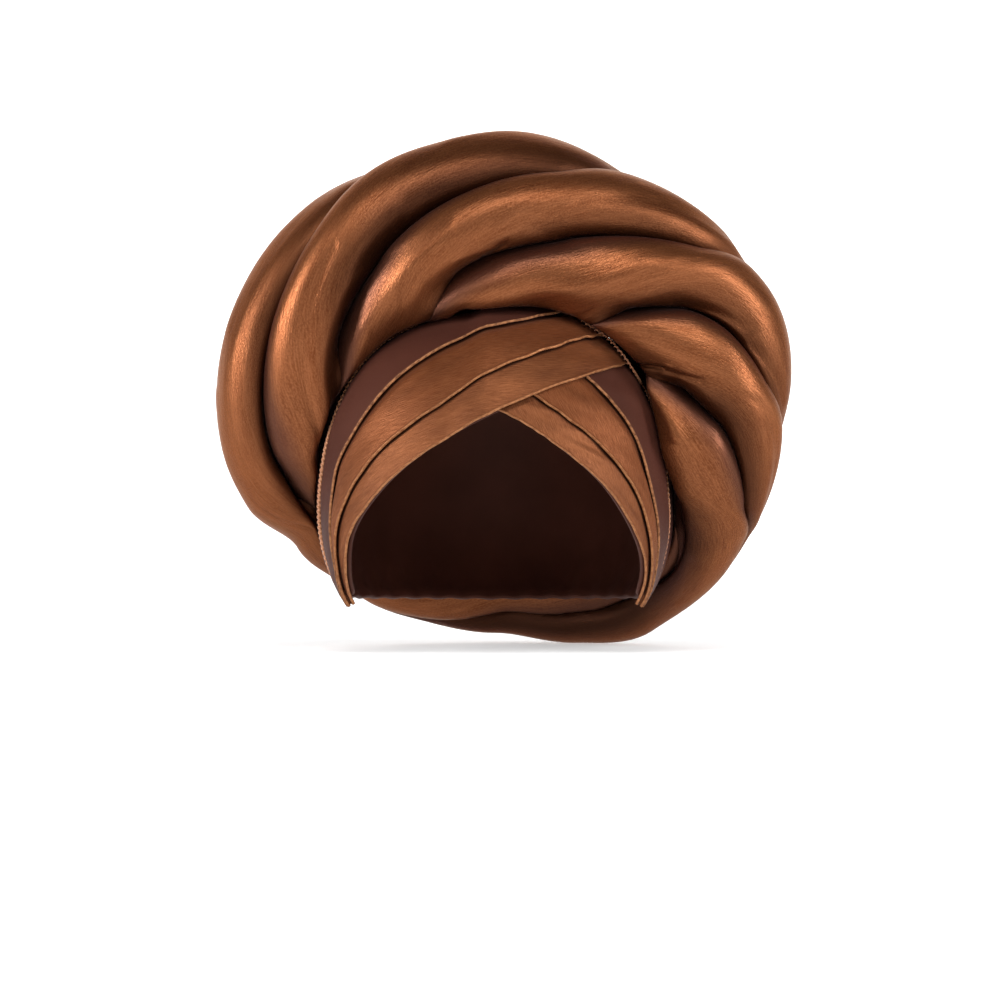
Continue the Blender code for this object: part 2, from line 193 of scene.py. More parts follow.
RING_RISE = 0.31  # the ring's middle as a share of the crown's height
RING_SQUARENESS = 2.3
CAP_SQUARENESS = 2.5
LEAST_THICKNESS = 0.3  # share of its thickness that the bundle keeps where the cap presses on it
REST_SOFTNESS = 0.0015  # metres over which the bundle bends on to what it rests on
ROLL_CORE = 0.08  # how near to the bundle's middle the rolls go, as a share of its radius
PRESSED_VALLEY = 0.99  # the creases hardly go in where the rolls press on the cap
PRESSED_FROM = 0.35  # cosine of the turn around the bundle where that starts
PRESSED_EASE = 0.45
ROLL_LEAN = 0.36  # how far a roll's outer side leans over the next roll
LONG_RELIEF = 0.006  # swell of the long soft waves along the rolls
SHORT_RELIEF = 0.0016  # swell of the short ones
TUCK_HEIGHT = 0.97  # height on a roll below which painted shade darkens it towards the crease
TUCK_FALLS = (0.9, 2.6)  # how steeply that painted shade darkens it on its inner and its outer side
RIM_FROM = 0.62  # place across a roll where its painted plum sheen starts
RIM_EASE = 0.4

RIM_SPARE = 0.0015  # metres from the lowest fold up to the cap's rim
CLIMB_FROM = -16  # turn at which the upper pleats start to climb over the lower ones
CLIMB_LENGTH = 14
CROSSING = (-26, 84)  # turns between which the ring lies on both groups of pleats
CROSSING_EASE = 12

BACK_FROM = 66  # turn behind which the cap's rim is hemmed and gathered
BACK_EASE = 20
HEM_SWELL = 0.0005
HEM_HEIGHT = 0.0075
HEM_STEP = 0.0012
EDGE_DROP = 0.0004  # how far the middle of the cap's edge hangs below its faces
GATHERS = 34
GATHER_SWELL = 0.0005
GATHER_HEIGHT = 0.02

OVERLAP_END = 1.25  # how far a pleat runs on under the next one, as a share of its width
FOLD_ROUND = 0.6  # radius of a pleat's fold as a share of the cloth
FOLD_PLACES = (0, 0.03, 0.12, 0.3, 0.6, 1.0, 1.6, 2.4, 3.4, 4.6, 6.0)  # in radii from the fold
TUCK_PLACE = 0.93  # place across a pleat where the painted shadow line under the next fold may start
FOLD_WOBBLE = 0.00016
BEAD_WIDTH = 0.0005
FOLD_WEAR_AND_HIGHLIGHT_WIDTH = 0.0008
UNDER_WIDTH = 0.0006
CLOTH_SWELL = 0.0002

TURN_FOR_CROWN = 50  # degrees around the cap that are about as long as its crown is high
STITCH_PITCH = 0.0024
LOOP_REACH = 0.0017  # how far the looped stitches of a cord arch to the side
LOOP_INSET = 0.0009
LOOP_THREAD = 0.5  # thickness of a loop's thread as a share of the cord's
LOOP_KNOT = 0.2  # how much of that is added where it enters the cloth
THICK_STRETCH = (0.25, 0.64, 0.36)  # a cord thickens up to here, and thins up to here, over this

ROLL_STATIONS = 560
ARC_POINTS = 60
FLANK_POINTS = 5
PLEAT_STATIONS = 420
PLEAT_COLUMNS = 15
CAP_COLUMNS = 180
CAP_ROWS = 60
CORD_STATIONS = 2400
SEAM_STATIONS = 12
PIPING_SIDES = 14

# Sizes of the cloth's blotches and streaks in metres
THREADS = (0.009, 0.00035, 1)
THREAD_GRAIN = (0.0011, 0.0005, 1)
BROAD_STREAKS = (0.05, 0.004, 1)
RIBS = (0.006, 0.0004, 1)
BAND_PATCHES = (0.03, 0.012, 1)
FRAY = (0.002, 0.0008, 1)
PANEL_GRAIN = (0.0012, 0.0005, 1)
STRANDS = (0.004, 0.0004, 1)
ROLL_DRIFT = (0.05, 0.05, 0.05)
PANEL_DRIFT = (0.04, 0.04, 0.04)
PAPER_FIBRE = (0.004, 0.004, 0.004)

# The paper behind the wrap: half its width, where it starts, where its floor bends up and the
# radius of that bend, and the height of its top
PAPER_SIDE, PAPER_FRONT, PAPER_BEND, BEND_RADIUS, PAPER_TOP = 4.0, -4.0, 0.8, 1.6, 3.2
FLOOR_GAP = 0.001
GLOW_SPREAD = (-2.6, 0.6)  # places from front to back between which the paper's glow grows

# Area lights: place, size, power in watts, and what each points at if it isn't the wrap
WRAP_MIDDLE = (0, 0, 0.05)
LIGHTS = {
    "left_light": ((-1.9, -0.6, 0.25), (0.4, 1.2), 42),
    "right_light": ((1.9, -0.6, 0.3), (0.5, 1.2), 29),
    "front_left_light": ((-0.9, -1.7, 0.9), (0.7, 0.5), 4),
    "front_right_light": ((0.9, -1.7, 0.9), (0.7, 0.5), 10),
    "top_light": ((0, -1.4, 1.5), (1.2, 0.5), 17),
    "wall_light": ((0, 1.0, 1.2), (2.6, 0.6), 34, (0, 2.4, 0.9)),
}
AIR_STRENGTH = 0.08  # light from all around

CAMERA_PLACE = (0.0022, -1.902, 0.0)
CAMERA_LENS = 147.3


def length_of(points):
    """Distance along rows of points, from the first."""
    steps = np.linalg.norm(np.diff(points, axis=0), axis=-1)
    return np.concatenate([np.zeros_like(steps[:1]), np.cumsum(steps, axis=0)])


def ease(t):
    """Eases a share from 0 to 1, flat at both ends."""
    t = np.clip(t, 0.0, 1.0)
    return t * t * (3 - 2 * t)


def unit(vectors):
    return vectors / np.linalg.norm(vectors, axis=-1, keepdims=True)


def smooth_curve(xs, ys, x):
    """Values at x of a smooth curve through the points (xs, ys) that never overshoots them."""
    xs, ys = np.asarray(xs, float), np.asarray(ys, float)
    steps = np.diff(ys) / np.diff(xs)
    before, after = steps[:-1], steps[1:]
    same_way = before * after > 0
    inner = np.where(same_way, 2 * before * after / np.where(same_way, before + after, 1), 0)
    slopes = np.concatenate([steps[:1], inner, steps[-1:]])
    x = np.clip(x, xs[0], xs[-1])
    i = np.clip(np.searchsorted(xs, x, side="right") - 1, 0, len(xs) - 2)
    h = xs[i + 1] - xs[i]
    t = (x - xs[i]) / h
    start = (1 + 2 * t) * (1 - t) ** 2 * ys[i] + t * (1 - t) ** 2 * h * slopes[i]
    end = t * t * (3 - 2 * t) * ys[i + 1] + t * t * (t - 1) * h * slopes[i + 1]
    return start + end


def waves(along, across, seed, turns, ridges, count=10):
    """A smooth uneven field of about -1 to 1. It repeats after 1 along, so it closes around a ring."""
    rng = np.random.default_rng(seed)
    field = 0.0
    for _ in range(count):
        turn = rng.integers(turns[0], turns[1] + 1)
        ridge = rng.uniform(*ridges)
        field = field + np.sin(2 * np.pi * (turn * along + ridge * across + rng.random()))
    return field / math.sqrt(count)


def dents_in(roll, angle, across):
    """How far the ridges and dents of a roll swell it."""
    field = 0.0
    for owner, start, start_across, end, end_across, wide, swell in DENTS:
        if owner == roll:
            run, drift = (end - start) / ROLL_HALF_ANGLE, end_across - start_across
            ahead, aside = (angle - start) / ROLL_HALF_ANGLE, across - start_across
            share = np.clip((ahead * run + aside * drift) / (run**2 + drift**2), 0, 1)
            gap = np.hypot(ahead - share * run, aside - share * drift)
            field = field + swell * np.exp(-((gap / wide) ** 2))
    return field


def roll_section():
    """The outline of a roll's section, as its place across and its height."""
    arc = -np.cos(np.pi * np.linspace(0, 1, ARC_POINTS))
    lift = (1 - arc**2) ** np.where(arc < 0, 0.72, 0.5)
    leant = arc + ROLL_LEAN * lift * (1 + arc) / 2
    down = np.linspace(0, 1, FLANK_POINTS + 1)[1:]
    bottom = np.linspace(1, -1, 5)[1:-1]
    across = np.concatenate([leant, np.ones(FLANK_POINTS), bottom, -np.ones(FLANK_POINTS + 1)])
    height = np.concatenate([lift, -down, -np.ones(3), -down[::-1], np.zeros(1)])
    return across, height


class WrapForm:
    """The surfaces of the wrap, worked out from its sizes."""

    def __init__(self, sizes):
        self.half_width, self.half_length = sizes.cap_half_width, sizes.cap_half_length
        self.crown, self.taper = sizes.cap_crown, sizes.cap_taper
        self.cloth, self.gap = sizes.cloth, sizes.layer_gap
        self.ring_width, self.ring_depth = sizes.ring_width, sizes.ring_depth
        self.valley, self.roll_gap, self.rest = sizes.roll_valley, sizes.roll_gap, sizes.roll_rest

    def cap_ratio(self, point):
        """1 on the cap's outer face, less inside it, and in proportion from the middle."""
        girth = np.hypot(point[..., 0] / self.half_width, point[..., 1] / self.half_length)
        height = np.abs(point[..., 2]) / np.where(point[..., 2] > 0, self.crown, self.taper)
        n = CAP_SQUARENESS
        return (girth**n + height**n) ** (1 / n)

    def cap_slope(self, point):
        """How fast cap_ratio grows, as vectors that point straight out of the cap."""
        n = CAP_SQUARENESS
        x, y, z = point[..., 0] / self.half_width, point[..., 1] / self.half_length, point[..., 2]
        tall = np.where(z > 0, self.crown, self.taper)
        girth = np.maximum(np.hypot(x, y), 1e-9)
        scale = np.maximum(self.cap_ratio(point), 1e-9) ** (1 - n)
        flat = scale * girth ** (n - 2)
        up = scale * (np.abs(z) / tall) ** (n - 1) * np.sign(z) / tall
        return np.stack([flat * x / self.half_width, flat * y / self.half_length, up], axis=-1)

    def cap_girth(self, rise):
        """How far around the cap is at a rise, as a share of its widest level."""
        share = np.minimum(1.0, np.abs(rise) / np.where(rise > 0, self.crown, self.taper))
        return (1 - share**CAP_SQUARENESS) ** (1 / CAP_SQUARENESS)

    def cap_point(self, turn, rise, out=0.0):
        """Points on the cap at a turn in degrees and a rise in metres, moved outwards."""
        turn, rise = np.broadcast_arrays(np.radians(turn), np.asarray(rise, float))
        girth = self.cap_girth(rise)
        x = self.half_width * girth * np.sin(turn)
        y = -self.half_length * girth * np.cos(turn)
        point = np.stack([x, y, rise], axis=-1)
        return point + unit(self.cap_slope(point)) * np.asarray(out, float)[..., None]

    def fold(self, table, column, share):
        """(turn, rise) along one fold line of a group of pleats."""
        places = np.arange(len(table))
        at = share * (len(table) - 1)
        turn = smooth_curve(places, [row[column][0] for row in table], at)
        rise = smooth_curve(places, [row[column][1] for row in table], at)
        return turn, rise * self.crown

    def rim_rise(self, turn):
        """Rise of the cap's rim, which follows the lowest pleats in front."""
        front = 0.0
        for table in (UPPER_PLEATS, LOWER_PLEATS):
            folds = sorted(row[0] for row in table)
            low = smooth_curve([f[0] for f in folds], [f[1] for f in folds], turn)
            mine = turn < UPPER_PLEATS[TIP_ROW][0][0]
            front = front + np.where(mine if table is UPPER_PLEATS else ~mine, low, 0)
        back = smooth_curve([r[0] for r in RIM], [r[1] for r in RIM], np.abs(turn))
        return np.where(np.abs(turn) < RIM[0][0], front, back) * self.crown + RIM_SPARE

    def group_lift(self, table, turn):
        """How far a group of pleats stands off the cap: the upper one climbs over the lower."""
        if table is LOWER_PLEATS:
            return self.gap
        climb = ease((turn - CLIMB_FROM) / CLIMB_LENGTH)
        return self.gap + 2 * (self.cloth + self.gap) * climb

    def pleat_place(self, table, column, share, across):
        """(turn, rise, lift) on a pleat: across is 0 at its own fold and 1 at the next one."""
        fold = np.minimum(2, column + np.floor(across)).astype(int)
        turn, rise = np.zeros_like(share * across), np.zeros_like(share * across)
        for c in sorted(set(fold.ravel().tolist())):
            low, high = self.fold(table, c, share), self.fold(table, c + 1, share)
            part = across - (c - column)
            turn = np.where(fold == c, low[0] + (high[0] - low[0]) * part, turn)
            rise = np.where(fold == c, low[1] + (high[1] - low[1]) * part, rise)
        lift = self.group_lift(table, turn)
        if column > 0:
            lift = lift + (self.cloth + self.gap) * ease((1 - across) / 0.2)
        return turn, rise, lift

    def layers_at(self, point):
        """How far the pleats stand off the cap in the direction of points."""
        on_cap = point / np.maximum(self.cap_ratio(point), 1e-6)[..., None]
        turn = np.degrees(np.arctan2(on_cap[..., 0] / self.half_width, -on_cap[..., 1] / self.half_length))
        rise = on_cap[..., 2] / self.crown
        crossing = ease((turn - CROSSING[0]) / CROSSING_EASE) * ease((CROSSING[1] - turn) / CROSSING_EASE)
        climbing = crossing * ease((rise - 0.45) / 0.15)
        seam = 0.33 + 0.25 * np.minimum(0.0, rise)
        pleated = ease((-on_cap[..., 1] / self.half_length - seam) / 0.15 + 1) * ease((0.965 - rise) / 0.04)
        return pleated * (2 + 3 * climbing) * (self.cloth + self.gap)

    def ring_value(self, angle, column):
        """A column of RING at ring angles."""
        angles = [row[0] + lap for lap in (-360, 0, 360) for row in RING]
        return smooth_curve(angles, [row[column] for row in RING] * 3, angle)

    def from_ring(self, angle, radius, y):
        """Points at a ring angle and radius."""
        a = np.radians(angle)
        x, z = radius * np.sin(a), RING_RISE * self.crown + radius * np.cos(a)
        return np.stack(np.broadcast_arrays(x, y, z), axis=-1)

    def find_radius(self, angle, y, outside):
        """The radius at which points in a direction of the ring come outside something."""
        near = np.zeros(np.broadcast_shapes(np.shape(angle), np.shape(y)))
        far = near + 2 * (self.half_width + self.crown)
        for _ in range(26):
            half = (near + far) / 2
            out = outside(self.from_ring(angle, half, y))
            near, far = np.where(out, near, half), np.where(out, half, far)
        return near

    def bundle_point(self, angle, turn, reach, swell=0.0):
        """Points in the bundle of rolls, which lies flattened where it rests on the cap."""
        inner, width, depth, back, lean = (self.ring_value(angle, c) for c in range(1, 6))
        half_width, half_depth = width * self.ring_width / 2, depth * self.ring_depth / 2
        outline = self.find_radius(angle, 0.0, lambda p: self.cap_ratio(p) >= 1)
        middle = inner * outline + half_width
        for trim_angle, trim_turn, long, wide, trim in TRIMS:
            aside = ((turn - trim_turn + 180) % 360 - 180) / wide
            swell = swell + trim * np.exp(-(((angle - trim_angle) / long) ** 2) - aside**2)
        half_width, half_depth = half_width * (1 + swell), half_depth * (1 + swell)
        sine, cosine = np.sin(np.radians(turn)), np.cos(np.radians(turn))
        power = 2 / RING_SQUARENESS
        forward = reach * np.sign(sine) * np.abs(sine) ** power
        outward = -reach * np.sign(cosine) * np.abs(cosine) ** power
        n = RING_SQUARENESS
        side = half_width * np.maximum(0, 1 - np.abs(forward) ** n) ** (1 / n)
        y = back * self.half_length - half_depth * forward
        low = middle - side

        def off_cap(p):
            slope = np.linalg.norm(self.cap_slope(p), axis=-1)
            return self.cap_ratio(p) >= 1 + (self.rest + self.layers_at(p)) * slope

        rest = self.find_radius(angle, y - lean * side, off_cap)
        floor = (low + rest + np.hypot(low - rest, 2 * REST_SOFTNESS)) / 2
        top = np.maximum(middle + side, floor + 2 * side * LEAST_THICKNESS)
        share = (half_width * outward + side) / np.maximum(2 * side, 1e-6)
        radius = floor + (top - floor) * share
        return self.from_ring(angle, radius, y + lean * (radius - middle))

    def crease_turn(self, index, angle):
        """How far the crease that starts a roll has turned around the bundle."""
        angles = [a + 360 * lap for lap in range(-2, 3) for a in CREASES[index]]
        turns = [t + 360 * lap for lap in range(-2, 3) for t in CREASE_TURNS]
        return smooth_curve(angles, turns, angle)

    def valley_at(self, turn):
        """How far out the creases end, at a turn around the bundle."""
        pressed = ease((np.cos(np.radians(turn)) - PRESSED_FROM) / PRESSED_EASE)
        return self.valley + (PRESSED_VALLEY - self.valley) * pressed

    def roll_points(self, index, angle, across, height, swell):
        """Points on a roll: height is 1 on its crown, 0 in the crease and -1 at the core."""
        high = self.crease_turn(index, angle)
        last = index == len(CREASES) - 1
        low = self.crease_turn(0, angle) - 360 if last else self.crease_turn(index + 1, angle)
        half_depth = self.ring_value(angle, 3) * self.ring_depth / 2
        half = (high - low) / 2
        valley = self.valley_at((low + high) / 2 + across * half)
        crown = (1 - valley) * np.maximum(height, 0)
        reach = valley + crown + (valley - ROLL_CORE) * np.minimum(height, 0)
        spare = np.minimum(half / 2, np.degrees(self.roll_gap / 2 / (reach * half_depth)))
        return self.bundle_point(angle, (low + high) / 2 + across * (half - spare), reach, swell)


def new_grid(name, rows, columns):
    """A flat grid of points, ready for operators."""
    bpy.ops.object.select_all(action="DESELECT")
    bpy.ops.mesh.primitive_grid_add(x_subdivisions=columns - 1, y_subdivisions=rows - 1, size=1)
    piece = bpy.context.object
    piece.name = piece.data.name = name
    return piece


def grid_backdrop(name, points):
    """An open sheet of paper through a grid of points."""
    piece = new_grid(name, *points.shape[:2])
    piece.data.vertices.foreach_set("co", points.ravel())
    piece.data.update()
    bpy.ops.object.shade_smooth()
    return piece


def grid_piece(name, points, place, marks=None):
    """A closed mesh through a grid of points, with joined edges and faces that point outwards.

    place is (along, across) in metres for its UV map. marks holds values for its points by name.
    """
    rows, columns = points.shape[:2]
    piece = new_grid(name, rows, columns)
    mesh = piece.data
    flat = np.zeros(len(mesh.vertices) * 3)
    mesh.vertices.foreach_get("co", flat)
    flat = flat.reshape(-1, 3)
    column = np.rint((flat[:, 0] + 0.5) * (columns - 1)).astype(int)
    row = np.rint((flat[:, 1] + 0.5) * (rows - 1)).astype(int)
    corner = np.zeros(len(mesh.loops), int)
    mesh.loops.foreach_get("vertex_index", corner)
    uv = np.stack([np.broadcast_to(part, (rows, columns))[row, column] for part in place], axis=-1)
    mesh.uv_layers[0].name = "cloth"
    mesh.uv_layers[0].data.foreach_set("uv", uv[corner].ravel())
    for mark, values in (marks or {}).items():
        attribute = mesh.attributes.new(mark, "FLOAT", "POINT")
        attribute.data.foreach_set("value", np.broadcast_to(values, (rows, columns))[row, column])
    mesh.vertices.foreach_set("co", points[row, column].ravel())
    mesh.update()
    bpy.ops.object.mode_set(mode="EDIT")
    bpy.ops.mesh.select_all(action="SELECT")
    bpy.ops.mesh.remove_doubles(threshold=1e-6)
    bpy.ops.mesh.select_all(action="DESELECT")
    bpy.ops.mesh.select_non_manifold(extend=False)
    bpy.ops.mesh.fill_holes(sides=0)
    bpy.ops.mesh.select_all(action="SELECT")
    bpy.ops.mesh.normals_make_consistent(inside=False)
    bpy.ops.object.mode_set(mode="OBJECT")
    bpy.ops.object.shade_smooth()
    return piece


def dress(piece, material, slot, *nodes):
    """Gives a piece its material, hangs it on the body and lets it stand for CAD nodes."""
    piece.data.materials.clear()
    piece.data.materials.append(material)
    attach(piece, "root")
    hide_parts(*nodes)


def rgba(colour):
    return (*colour, 1.0)


class Nodes:
    """Adds nodes to one tree and joins them."""

    def __init__(self, tree):
        self.tree = tree

    def add(self, kind, inputs=None, **settings):
        node = self.tree.nodes.new(kind)
        for key, value in settings.items():
            setattr(node, key, value)
        for key, value in (inputs or {}).items():
            if isinstance(value, bpy.types.NodeSocket):
                self.link(value, node.inputs[key])
            else:
                node.inputs[key].default_value = value
        return node

    def link(self, value, socket):
        self.tree.links.new(value, socket)

    def cloth_place(self):
        """The place along and across the cloth in metres."""
        return self.add("ShaderNodeUVMap", uv_map="cloth").outputs[0]

    def whole_place(self):
        return self.add("ShaderNodeTexCoord").outputs["Object"]

    def mark(self, name):
        """A value that the piece's points carry."""
        return self.add("ShaderNodeAttribute", attribute_name=name).outputs["Fac"]

    def bump(self, height, strength, distance):
        inputs = {"Height": height, "Strength": strength, "Distance": distance}
        return self.add("ShaderNodeBump", inputs).outputs[0]

    def calc(self, operation, *values):
        return self.add("ShaderNodeMath", dict(enumerate(values)), operation=operation).outputs[0]

    def mix(self, share, first, second):
        inputs = {0: share, 6: first, 7: second}
        return self.add("ShaderNodeMix", inputs, data_type="RGBA").outputs[2]

    def tint(self, tone, colour, mask, strength):
        """A tone mixed with a colour by a mask."""
        return self.mix(self.calc("MULTIPLY", mask, strength), tone, rgba(colour))

    def spread(self, value, low, high, to_low=0.0, to_high=1.0):
        inputs = {"Value": value, "From Min": low, "From Max": high, "To Min": to_low, "To Max": to_high}
        return self.add("ShaderNodeMapRange", inputs).outputs["Result"]

    def noise(self, place, size, detail=2.0, rough=0.5):
        """Noise whose blotches have a size of (x, y, z) metres."""
        scale = tuple(1 / s for s in size)
        scaled = self.add("ShaderNodeVectorMath", {0: place, 1: scale}, operation="MULTIPLY").outputs[0]
        inputs = {"Vector": scaled, "Scale": 1.0, "Detail": detail, "Roughness": rough}
        return self.add("ShaderNodeTexNoise", inputs).outputs["Fac"]


def effect_group(name, inputs, outputs):
    """A shader node group with the named sockets. Returns it with its input and output nodes."""
    tree = bpy.data.node_groups.new(name, "ShaderNodeTree")
    for socket, kind in inputs.items():
        tree.interface.new_socket(socket, in_out="INPUT", socket_type=kind)
    for socket in outputs:
        tree.interface.new_socket(socket, in_out="OUTPUT", socket_type="NodeSocketFloat")
    nodes = Nodes(tree)
    return nodes, nodes.add("NodeGroupInput").outputs, nodes.add("NodeGroupOutput").inputs


def brushed_streaks():
    """Short streaks of thread along the cloth: fine and broad tones, and a height."""
    if "brushed_streaks" in bpy.data.node_groups:
        return bpy.data.node_groups["brushed_streaks"]
    sockets = {"Place": "NodeSocketVector"}
    nodes, given, out = effect_group("brushed_streaks", sockets, ("Fine", "Broad", "Height"))
    threads = nodes.noise(given["Place"], THREADS, 3.0, 0.55)
    broad = nodes.noise(given["Place"], BROAD_STREAKS)
    grain = nodes.noise(given["Place"], THREAD_GRAIN, 2.0, 0.6)
    fine = nodes.calc("ADD", nodes.calc("MULTIPLY", threads, 0.5), nodes.calc("MULTIPLY", grain, 0.5))
    nodes.link(nodes.spread(fine, 0.41, 0.60), out["Fine"])
    nodes.link(nodes.spread(broad, 0.3, 0.7), out["Broad"])
    nodes.link(nodes.calc("ADD", fine, nodes.calc("MULTIPLY", broad, 0.8)), out["Height"])
    return nodes.tree


def cloth_weave():
    """Fine slanting ribs and soft patches of a woven band."""
    if "cloth_weave" in bpy.data.node_groups:
        return bpy.data.node_groups["cloth_weave"]
    sockets = {"Place": "NodeSocketVector", "Slant": "NodeSocketFloat"}
    nodes, given, out = effect_group("cloth_weave", sockets, ("Ribs", "Patches"))
    spin = {"Vector": given["Place"], "Angle": given["Slant"]}
    turned = nodes.add("ShaderNodeVectorRotate", spin, rotation_type="Z_AXIS").outputs[0]
    patches = nodes.noise(given["Place"], BAND_PATCHES)
    nodes.link(nodes.spread(nodes.noise(turned, RIBS, 2.0, 0.6), 0.32, 0.68), out["Ribs"])
    nodes.link(nodes.spread(patches, 0.3, 0.7), out["Patches"])
    return nodes.tree


def new_material(name, **values):
    """A material with its nodes and its Principled shader, set to values by name, with _ for a space."""
    material = bpy.data.materials.new(name)
    material.use_nodes = True
    shader = material.node_tree.nodes["Principled BSDF"]
    for key, value in values.items():
        shader.inputs[key.replace("_", " ")].default_value = value
    return material, Nodes(material.node_tree), shader


def fold_marks(nodes, uv, tone, colours):
    """A tone that is lighter along a fold, partly as wear and partly as a painted highlight, and darker with
    painted shadow where the next fold lies over it.
    """
    fray = nodes.spread(nodes.noise(uv, FRAY), 0.25, 0.6)
    # Lighter along the fold, partly wear and partly a painted highlight
    tone = nodes.tint(tone, colours.fold_highlight_and_thread, nodes.mark("fold_wear_and_highlight"), fray)
    # Painted shadow: a dark line where the next fold lies over this one
    return nodes.tint(tone, colours.satin_crease, nodes.mark("painted_fold_shadow"), 0.85)


def roll_satin(name, colours, seed):
    """Copper brown satin with brushed streaks along the roll, a painted plum sheen along its outer edge, and
    painted shade in its creases and on its inner side.
    """
    material, nodes, shader = new_material(
        name, Metallic=0.75, Anisotropic=0.5, Sheen_Weight=0.03, Sheen_Roughness=0.3,
        Sheen_Tint=(0.55, 0.42, 0.46, 1), Specular_IOR_Level=0.5, Specular_Tint=(0.6, 0.42, 0.30, 1),
    )
    uv = nodes.cloth_place()
    moved = nodes.add("ShaderNodeVectorMath", {0: uv, 1: (seed * 0.7, seed * 0.3, seed * 5.0)}).outputs[0]
    streaks = nodes.add("ShaderNodeGroup", node_tree=brushed_streaks())
    nodes.link(moved, streaks.inputs["Place"])
    fine, broad = streaks.outputs["Fine"], streaks.outputs["Broad"]
    drift = nodes.spread(nodes.noise(nodes.whole_place(), ROLL_DRIFT), 0.35, 0.65)
    tone = nodes.mix(drift, rgba(colours.satin_deep), rgba(colours.satin_mid))
    tone = nodes.tint(tone, colours.satin_light, broad, 0.3)
    tone = nodes.tint(tone, colours.satin_light, fine, 0.5)
    # Painted sheen: plum along each roll's outer edge, where a grazing sheen would show
    tone = nodes.tint(tone, colours.satin_plum, nodes.mark("rim"), 0.75)
    # Painted shade: near black in the creases and over each roll's inner side
    tone = nodes.tint(tone, colours.satin_crease, nodes.mark("crease"), 0.9)
    nodes.link(tone, shader.inputs["Base Color"])
    nodes.link(nodes.spread(fine, 0.0, 1.0, 0.40, 0.30), shader.inputs["Roughness"])
    nodes.link(nodes.bump(streaks.outputs["Height"], 0.8, 0.0003), shader.inputs["Normal"])
    tangent = nodes.add("ShaderNodeTangent", direction_type="UV_MAP", uv_map="cloth")
    nodes.link(tangent.outputs[0], shader.inputs["Tangent"])
    return material


def band_satin(name, colours, slant, low, high):
    """Woven brown satin of a pleat, with fine ribs, a fold made lighter, partly as wear and partly as a
    painted highlight, and painted shadow under the next fold.
    """
    material, nodes, shader = new_material(
        name, Metallic=0.5, Sheen_Weight=0.04, Sheen_Roughness=0.4,
        Sheen_Tint=(0.6, 0.42, 0.42, 1), Specular_IOR_Level=0.35, Specular_Tint=(0.7, 0.5, 0.36, 1),
    )
    uv = nodes.cloth_place()
    weave = nodes.add("ShaderNodeGroup", node_tree=cloth_weave())
    nodes.link(uv, weave.inputs["Place"])
    weave.inputs["Slant"].default_value = slant
    ribs, patches = weave.outputs["Ribs"], weave.outputs["Patches"]
    tone = nodes.mix(patches, rgba(low), rgba(high))
    tone = nodes.tint(tone, colours.satin_light, ribs, 0.34)
    nodes.link(fold_marks(nodes, uv, tone, colours), shader.inputs["Base Color"])
    nodes.link(nodes.spread(ribs, 0.0, 1.0, 0.5, 0.4), shader.inputs["Roughness"])
    nodes.link(nodes.bump(ribs, 0.3, 0.0003), shader.inputs["Normal"])
    return material


def panel_satin(name, colours):
    """Smooth dark brown lining satin; where it has a fold, that is lighter, partly as wear and partly as a
    painted highlight, with painted shadow under the next fold.
    """
    material, nodes, shader = new_material(
        name, Sheen_Weight=0.02, Sheen_Roughness=0.4, Sheen_Tint=(0.5, 0.42, 0.5, 1),
        Specular_IOR_Level=0.2, Specular_Tint=(0.8, 0.5, 0.42, 1),
    )
    drift = nodes.spread(nodes.noise(nodes.whole_place(), PANEL_DRIFT), 0.35, 0.65)
    tone = nodes.mix(drift, rgba(colours.panel_dark), rgba(colours.panel_light))
    uv = nodes.cloth_place()
    grain = nodes.noise(uv, PANEL_GRAIN)
    nodes.link(fold_marks(nodes, uv, tone, colours), shader.inputs["Base Color"])
    nodes.link(nodes.spread(grain, 0.3, 0.7, 0.5, 0.62), shader.inputs["Roughness"])
    nodes.link(nodes.bump(grain, 0.1, 0.0002), shader.inputs["Normal"])
    return material


def piping_thread(name, colours):
    """Light copper thread, twisted."""
    material, nodes, shader = new_material(name, Roughness=0.45, Metallic=0.2, Sheen_Weight=0.2)
    strands = nodes.spread(nodes.noise(nodes.cloth_place(), STRANDS, 2.0, 0.6), 0.3, 0.7)
    tone = nodes.mix(strands, rgba(colours.satin_light), rgba(colours.fold_highlight_and_thread))
    nodes.link(tone, shader.inputs["Base Color"])
    nodes.link(nodes.bump(strands, 0.3, 0.0002), shader.inputs["Normal"])
    return material


def studio_paper(name, colours):
    """White paper that glows more towards its back, as a lit studio wall does."""
    material, nodes, shader = new_material(
        name, Roughness=0.9, Specular_IOR_Level=0.1, Emission_Strength=0.5
    )
    whole = nodes.whole_place()
    fibre = nodes.spread(nodes.noise(whole, PAPER_FIBRE), 0.3, 0.7)
    shade = rgba([0.97 * part for part in colours.paper])
    nodes.link(nodes.mix(fibre, rgba(colours.paper), shade), shader.inputs["Base Color"])
    back = nodes.add("ShaderNodeSeparateXYZ", {0: whole}).outputs["Y"]
    glow = nodes.mix(nodes.spread(back, *GLOW_SPREAD, 0.3, 1.0), (0, 0, 0, 1), (1, 1, 1, 1))
    nodes.link(glow, shader.inputs["Emission Color"])
    return material


def size_property(name, description, default):
    return FloatProperty(name=name, description=description, default=default, unit="LENGTH")


def colour_property(name, description, default):
    return FloatVectorProperty(
        name=name, description=description, default=default, subtype="COLOR", size=3, min=0.0, max=1.0
    )


